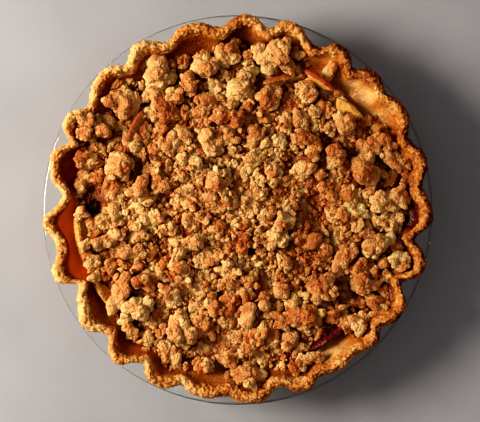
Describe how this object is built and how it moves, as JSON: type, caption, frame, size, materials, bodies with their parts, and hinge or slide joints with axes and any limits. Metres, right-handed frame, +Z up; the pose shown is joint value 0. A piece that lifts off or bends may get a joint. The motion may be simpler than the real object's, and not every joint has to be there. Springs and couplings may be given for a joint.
{
  "type": "apple crumble pie",
  "caption": "Round apple crumble pie with a hand-fluted pastry rim, apple filling and slices under a heap of baked crumble, standing in its own clear glass pie dish.",
  "frame": {"origin": "centre of the dish's flat foot, on the surface that the pie stands on", "axes": "+Z up along the axis of the dish; +X to the right and +Y to the top of the reference view from above"},
  "size_m": [0.244, 0.244, 0.0575],
  "materials": {
    "dish_glass": "clear pressed glass, smooth and glossy",
    "baked_pastry": "golden brown baked pastry, grainy and matt, darker along the rim's edges",
    "apple_juice": "glossy amber brown baked apple juice",
    "baked_crumble": "sandy golden brown baked crumble, rough and matt",
    "baked_apple": "soft baked apple flesh, moist, with red brown peel"
  },
  "bodies": {
    "root": {"dish": "dish_glass", "crust": "baked_pastry", "filling": "apple_juice", "crumble": "baked_crumble", "apple_slice_1": "baked_apple", "apple_slice_2": "baked_apple", "apple_slice_3": "baked_apple", "apple_slice_4": "baked_apple", "apple_slice_5": "baked_apple", "apple_slice_6": "baked_apple", "apple_slice_7": "baked_apple"}
  },
  "joints": []
}
